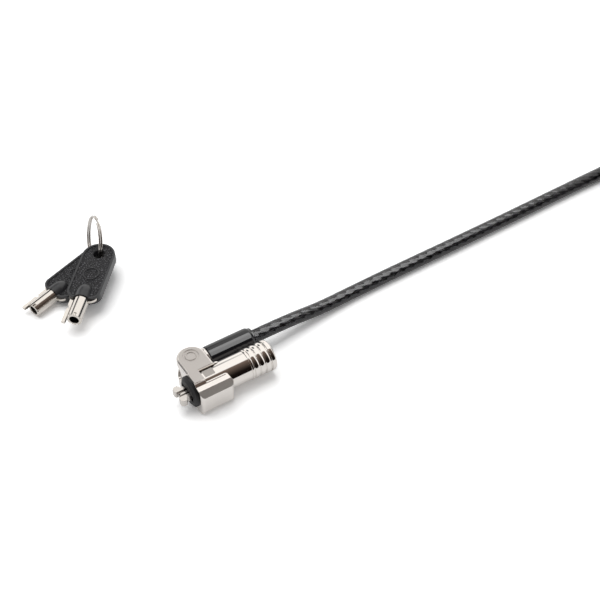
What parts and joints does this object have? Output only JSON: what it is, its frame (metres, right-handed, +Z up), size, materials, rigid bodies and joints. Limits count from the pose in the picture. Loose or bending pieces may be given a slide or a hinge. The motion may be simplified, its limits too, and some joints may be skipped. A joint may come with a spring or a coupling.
{
  "type": "laptop cable lock",
  "caption": "Laptop cable lock: a keyed barrel in a swivelling cast housing, folding slot hooks, a sheathed steel cable with an anchor loop, and two tubular keys on a split ring.",
  "frame": {"origin": "the middle of the housing's flat underside, straight below the barrel's axis", "axes": "+X along the barrel's axis from the nose to the key end, +Y from the barrel towards the cable, +Z up from the surface that the lock lies on"},
  "size_m": [0.3346, 0.1709, 0.0202],
  "materials": {
    "satin_zinc": "satin nickel over zinc die casting",
    "bright_plate": "polished bright nickel plate",
    "black_nylon": "moulded, fine grain",
    "gloss_black": "glossy moulded",
    "hook_steel": "sintered and plated steel",
    "pin_steel": "turned steel",
    "case_steel": "turned and plated steel",
    "brass": "turned brass",
    "key_nickel": "bright nickel plate",
    "ring_wire": "nickel plated spring wire",
    "cable_sheath": "smoked vinyl sheath over twisted steel wire",
    "crimp_alloy": "pressed aluminium"
  },
  "bodies": {
    "cable": {"cable_stop": "pin_steel", "swivel_ring": "bright_plate", "strain_relief": "gloss_black", "cable_lead": "cable_sheath", "cable_coil": "cable_sheath", "cable_tail": "cable_sheath", "cable_eye": "cable_sheath", "crimp_sleeve": "crimp_alloy", "key_1_blade": "key_nickel", "key_1_bow": "black_nylon"},
    "head": {"housing": "satin_zinc", "barrel": "bright_plate", "nose_cap": "black_nylon", "centre_tongue": "hook_steel", "hook_pins": "pin_steel", "lock_case": "case_steel", "pin_block": "brass", "driver_pins": "brass", "pin_springs": "pin_steel", "retaining_pin": "pin_steel"},
    "plug": {"plug": "case_steel", "key_pins": "brass", "plug_clip": "pin_steel"},
    "left_hook": {"hook_left": "hook_steel"},
    "right_hook": {"hook_right": "hook_steel"},
    "upper_key": {"key_2_blade": "key_nickel", "key_2_bow": "black_nylon"},
    "ring": {"key_ring": "ring_wire"}
  },
  "joints": [
    {"name": "head_swivel", "type": "hinge", "parent": "cable", "child": "head", "pos_m": [0, 0.0112, 0.0071], "axis": [1, 0, 0], "continuous": true},
    {"name": "plug_turn", "type": "hinge", "parent": "head", "child": "plug", "pos_m": [0, 0, 0.0071], "axis": [-1, 0, 0], "range_deg": [0, 90]},
    {"name": "left_hook_fold", "type": "hinge", "parent": "head", "child": "left_hook", "pos_m": [-0.0021, 0.0026, 0.0071], "axis": [0, 0, 1], "range_deg": [0, 4]},
    {"name": "right_hook_fold", "type": "hinge", "parent": "head", "child": "right_hook", "pos_m": [-0.0021, -0.0026, 0.0071], "axis": [0, 0, -1], "range_deg": [0, 4]},
    {"name": "key_fan", "type": "hinge", "parent": "cable", "child": "upper_key", "pos_m": [-0.00413, 0.08354, 0.00931], "axis": [-0.06, -0.0184, 0.998], "range_deg": [0, 50]},
    {"name": "ring_spin", "type": "hinge", "parent": "cable", "child": "ring", "pos_m": [-0.00161, 0.09335, 0.0102], "axis": [0.9461, -0.2132, -0.2436], "continuous": true}
  ],
  "couplings": [
    {"joint": "left_hook_fold", "follows": "plug_turn", "ratio": 0.044444},
    {"joint": "right_hook_fold", "follows": "plug_turn", "ratio": 0.044444}
  ]
}
